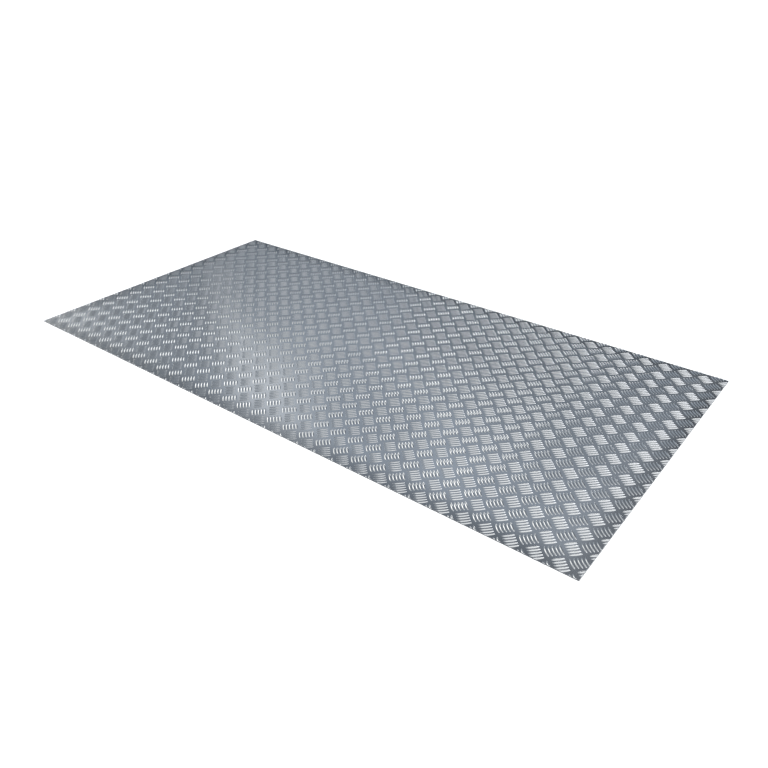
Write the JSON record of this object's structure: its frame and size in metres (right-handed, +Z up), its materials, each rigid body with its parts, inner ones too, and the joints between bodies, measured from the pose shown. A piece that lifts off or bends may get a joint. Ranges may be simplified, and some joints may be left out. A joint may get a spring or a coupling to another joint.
{
  "type": "aluminium tread plate",
  "caption": "Flat rectangular sheet of rolled aluminium with a raised five-bar anti-slip pattern on top and a plain underside, sold as stock for floors, ramps and steps.",
  "frame": {"origin": "middle of the flat underside", "axes": "+X along the sheet's length and rolling direction, +Y across its width, +Z up out of the tread side"},
  "size_m": [2, 1, 0.0025],
  "materials": {
    "mill_aluminium": "mill finish, hot rolled, with bright bar crests and a satin ground between them"
  },
  "bodies": {
    "root": {"tread_plate": "mill_aluminium"}
  },
  "joints": []
}
